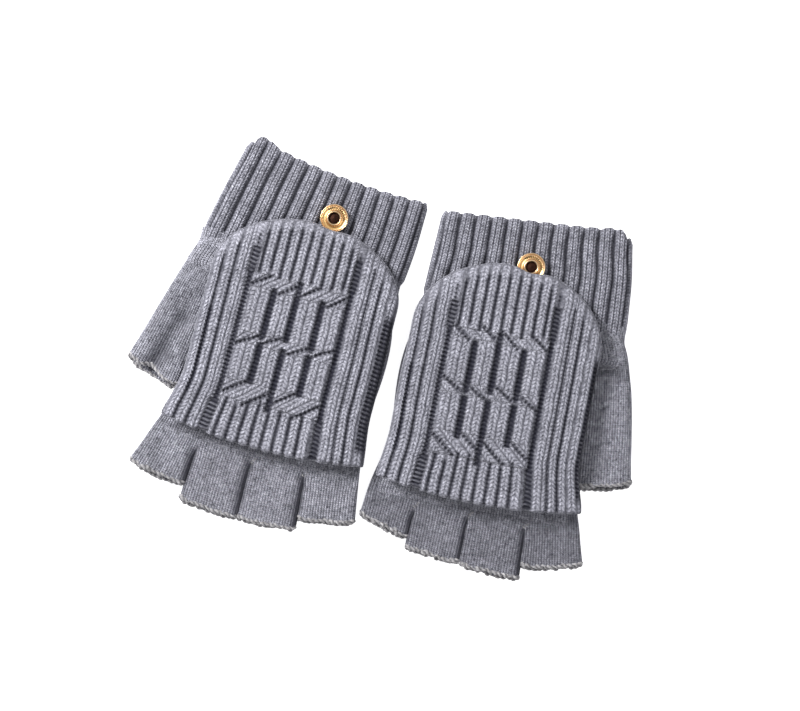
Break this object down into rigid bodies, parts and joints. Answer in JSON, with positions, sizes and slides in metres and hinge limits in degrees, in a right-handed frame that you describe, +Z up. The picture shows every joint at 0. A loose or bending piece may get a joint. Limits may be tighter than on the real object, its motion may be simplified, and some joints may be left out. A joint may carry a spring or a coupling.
{
  "type": "convertible mittens",
  "caption": "Pair of knitted half-finger gloves with cabled flip-top mitten covers folded back and looped over round buttons at the ribbed cuffs.",
  "frame": {"origin": "middle of the pair's outline on the surface that it lies on", "axes": "+Z up; fingers towards -Y and cuffs towards +Y; left-hand mitten at -X and right-hand mitten at +X, backs of the hands up"},
  "size_m": [0.2516, 0.2222, 0.0219],
  "materials": {
    "plain_knit": "fine stockinette in heathered blue-grey yarn",
    "rib_knit": "2x2 rib in heathered blue-grey yarn",
    "cable_knit": "cabled rib in thicker heathered blue-grey yarn with near-black yarn in the furrows",
    "cover_edge_knit": "soft linked edge in heathered blue-grey yarn",
    "bind_off": "cast-off edge in lighter grey yarn",
    "sewing_yarn": "twisted sewing yarn",
    "elastic_cord": "dark braided elastic cord",
    "gold_brass": "bright gold-plated, softly worn",
    "aged_brass": "dark aged brass"
  },
  "bodies": {
    "left_hand": {"left_cuff": "rib_knit", "left_hand": "plain_knit", "left_index_stub": "plain_knit", "left_middle_stub": "plain_knit", "left_ring_stub": "plain_knit", "left_little_stub": "plain_knit", "left_finger_edges": "bind_off", "left_thumb": "plain_knit", "left_thumb_edge": "bind_off", "left_knuckle_seam": "sewing_yarn", "left_button_tack": "aged_brass"},
    "left_cover": {"left_cover_back": "plain_knit", "left_cover_front": "cable_knit", "left_cover_rim": "cover_edge_knit", "left_cover_hem": "cable_knit", "left_loop": "elastic_cord", "left_loop_tack": "sewing_yarn"},
    "left_button": {"left_button_cap": "gold_brass"},
    "right_hand": {"right_cuff": "rib_knit", "right_hand": "plain_knit", "right_index_stub": "plain_knit", "right_middle_stub": "plain_knit", "right_ring_stub": "plain_knit", "right_little_stub": "plain_knit", "right_finger_edges": "bind_off", "right_thumb": "plain_knit", "right_thumb_edge": "bind_off", "right_knuckle_seam": "sewing_yarn", "right_button_tack": "aged_brass"},
    "right_cover": {"right_cover_back": "plain_knit", "right_cover_front": "cable_knit", "right_cover_rim": "cover_edge_knit", "right_cover_hem": "cable_knit", "right_loop": "elastic_cord", "right_loop_tack": "sewing_yarn"},
    "right_button": {"right_button_cap": "gold_brass"}
  },
  "joints": [
    {"name": "left_cover_flip", "type": "hinge", "parent": "left_hand", "child": "left_cover", "pos_m": [-0.05624, -0.03174, 0.0111], "axis": [0.9659, -0.2588, 0], "range_deg": [0, 180], "deforming": ["left_cover_front", "left_cover_rim", "left_cover_hem", "left_loop"]},
    {"name": "left_button_turn", "type": "hinge", "parent": "left_hand", "child": "left_button", "pos_m": [-0.02246, 0.06998, 0.011], "axis": [0, 0, 1], "continuous": true},
    {"name": "right_mitten_slide", "type": "slide", "parent": "left_hand", "child": "right_hand", "axis": [1, 0, 0], "range_m": [0, 0.15]},
    {"name": "right_cover_flip", "type": "hinge", "parent": "right_hand", "child": "right_cover", "pos_m": [0.05129, -0.05861, 0.0111], "axis": [0.9823, -0.1874, 0], "range_deg": [0, 180], "deforming": ["right_cover_front", "right_cover_rim", "right_cover_hem", "right_loop"]},
    {"name": "right_button_turn", "type": "hinge", "parent": "right_hand", "child": "right_button", "pos_m": [0.07586, 0.04563, 0.011], "axis": [0, 0, 1], "continuous": true}
  ]
}
